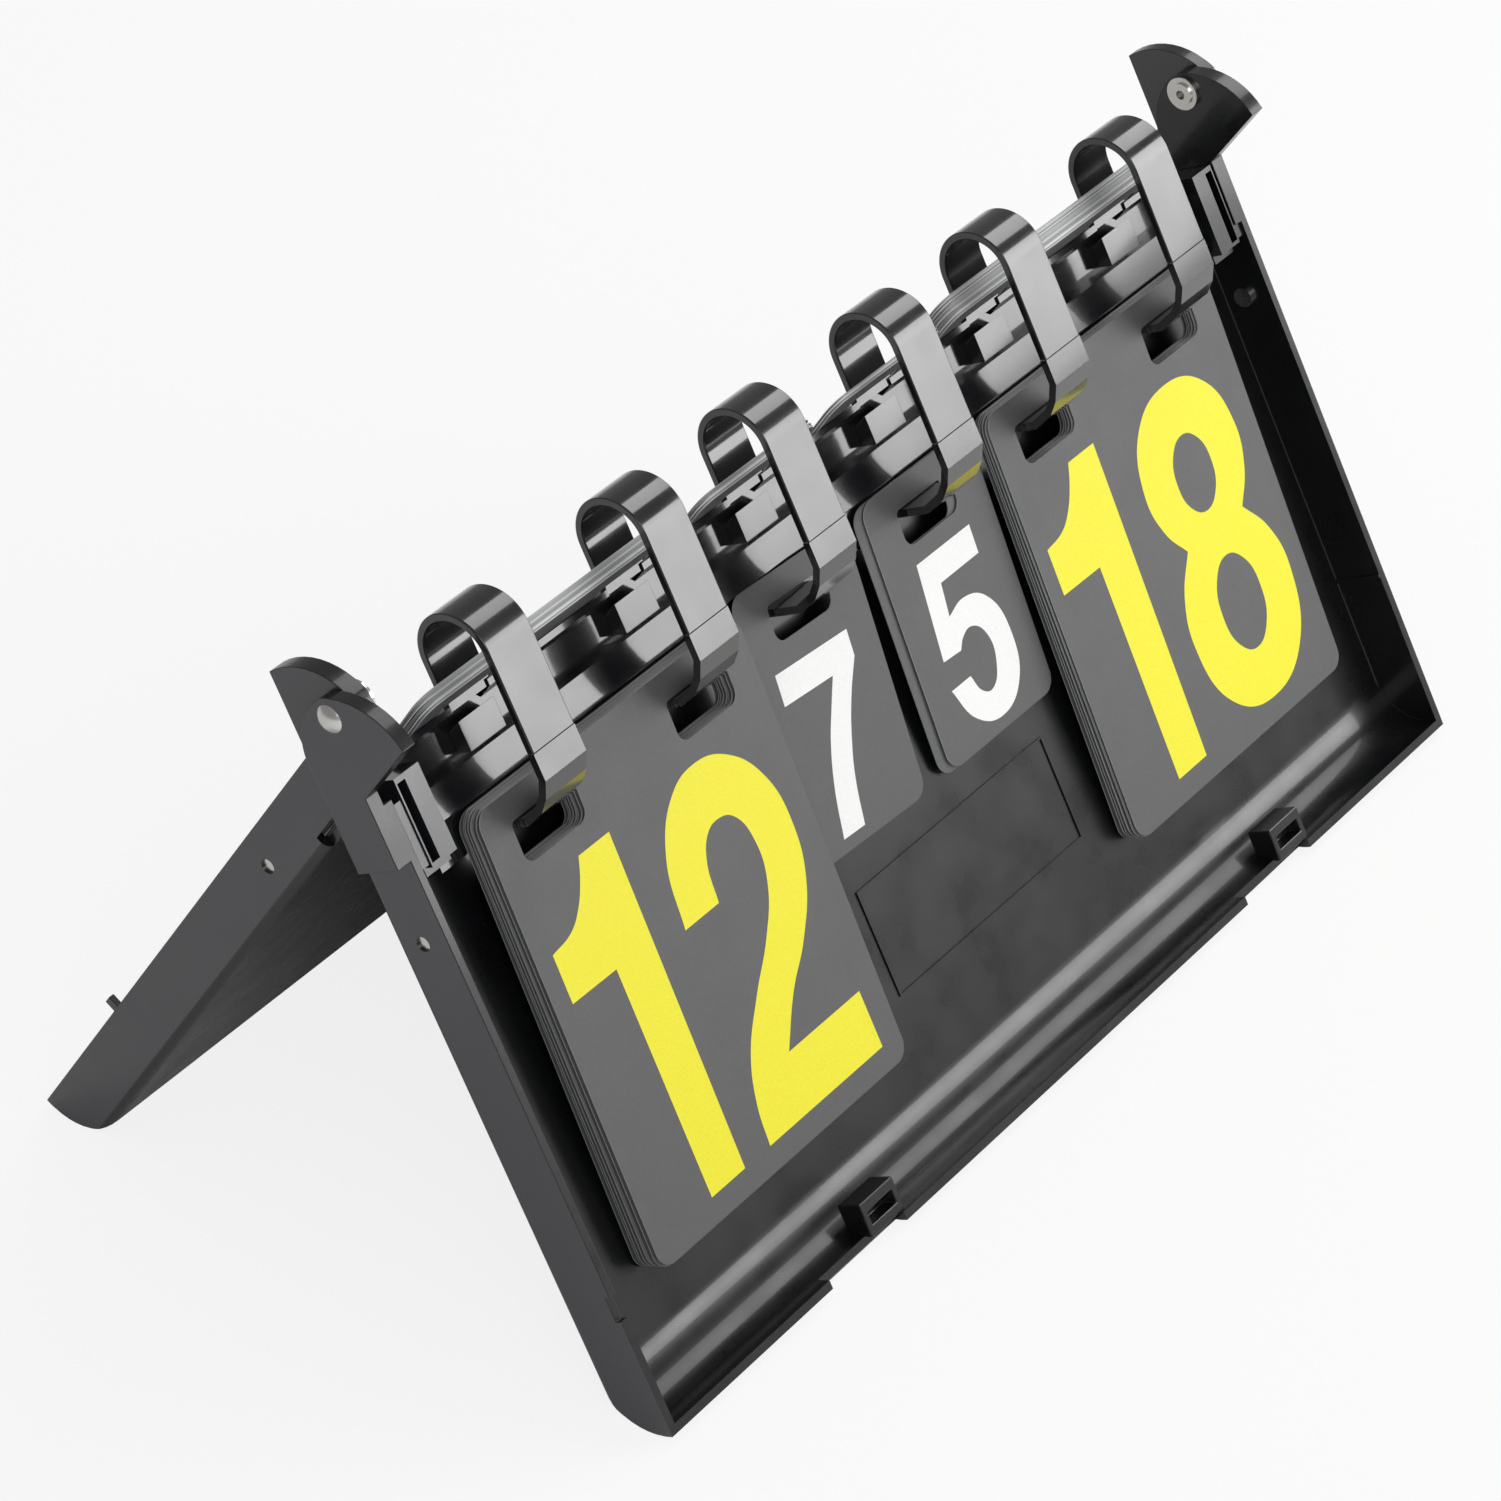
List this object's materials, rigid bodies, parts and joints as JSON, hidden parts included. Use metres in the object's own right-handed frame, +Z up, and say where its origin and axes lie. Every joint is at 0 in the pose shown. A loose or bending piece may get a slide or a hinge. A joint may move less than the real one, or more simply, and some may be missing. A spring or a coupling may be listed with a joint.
{
  "type": "tabletop flip scoreboard",
  "caption": "Tabletop flip scoreboard: two hinged plastic tray halves standing as an A, with numbered cards threaded on split rings along the ridge.",
  "frame": {"origin": "middle of the footprint, on the table surface", "axes": "+X along the hinge, to the right of a viewer in front; +Y from the front half to the rear half; +Z up"},
  "size_m": [0.3982, 0.2106, 0.1914],
  "materials": {
    "case_plastic": "fine moulded semi-gloss black",
    "rail_plastic": "semi-gloss black",
    "ring_plastic": "gloss black",
    "card_plastic": "matte black sheet with printed yellow or white digits",
    "nickel": "nickel plated"
  },
  "bodies": {
    "front_half": {"front_shell": "case_plastic", "ring_rail": "rail_plastic", "rail_end_left": "rail_plastic", "rail_end_right": "rail_plastic", "ring_1": "ring_plastic", "ring_2": "ring_plastic", "ring_3": "ring_plastic", "ring_4": "ring_plastic", "ring_5": "ring_plastic", "ring_6": "ring_plastic", "hinge_rivet_left": "nickel", "hinge_rivet_right": "nickel", "hinge_washer_left": "nickel", "hinge_washer_right": "nickel", "front_side_pegs": "nickel", "front_latch_catches": "case_plastic", "left_score_stack": "card_plastic", "right_set_stack": "card_plastic", "right_score_stack": "card_plastic"},
    "rear_half": {"rear_shell": "case_plastic", "rear_side_pegs": "nickel", "rear_latch_hooks": "case_plastic"},
    "flipped_cards": {"left_score_flipped": "card_plastic", "left_set_flipped": "card_plastic", "right_set_flipped": "card_plastic", "right_score_flipped": "card_plastic"},
    "left_score_leaf": {"left_score_card": "card_plastic"},
    "left_set_leaf": {"left_set_card": "card_plastic"},
    "right_set_leaf": {"right_set_card": "card_plastic"},
    "right_score_leaf": {"right_score_card": "card_plastic"}
  },
  "joints": [
    {"name": "case_fold", "type": "hinge", "parent": "front_half", "child": "rear_half", "pos_m": [0, 0, 0.18307], "axis": [1, 0, 0], "range_deg": [0, 170]},
    {"name": "card_flip", "type": "hinge", "parent": "front_half", "child": "flipped_cards", "pos_m": [0, -0.00715, 0.17509], "axis": [1, 0, 0], "range_deg": [0, 170]},
    {"name": "left_score_swing", "type": "hinge", "parent": "front_half", "child": "left_score_leaf", "pos_m": [0, -0.01982, 0.14717], "axis": [-1, 0, 0], "range_deg": [0, 110]},
    {"name": "left_set_swing", "type": "hinge", "parent": "front_half", "child": "left_set_leaf", "pos_m": [0, -0.01387, 0.14369], "axis": [-1, 0, 0], "range_deg": [0, 58]},
    {"name": "right_set_swing", "type": "hinge", "parent": "front_half", "child": "right_set_leaf", "pos_m": [0, -0.01473, 0.14419], "axis": [-1, 0, 0], "range_deg": [0, 75]},
    {"name": "right_score_swing", "type": "hinge", "parent": "front_half", "child": "right_score_leaf", "pos_m": [0, -0.01801, 0.14611], "axis": [-1, 0, 0], "range_deg": [0, 110]}
  ],
  "couplings": [
    {"joint": "card_flip", "follows": "case_fold", "ratio": 1}
  ]
}
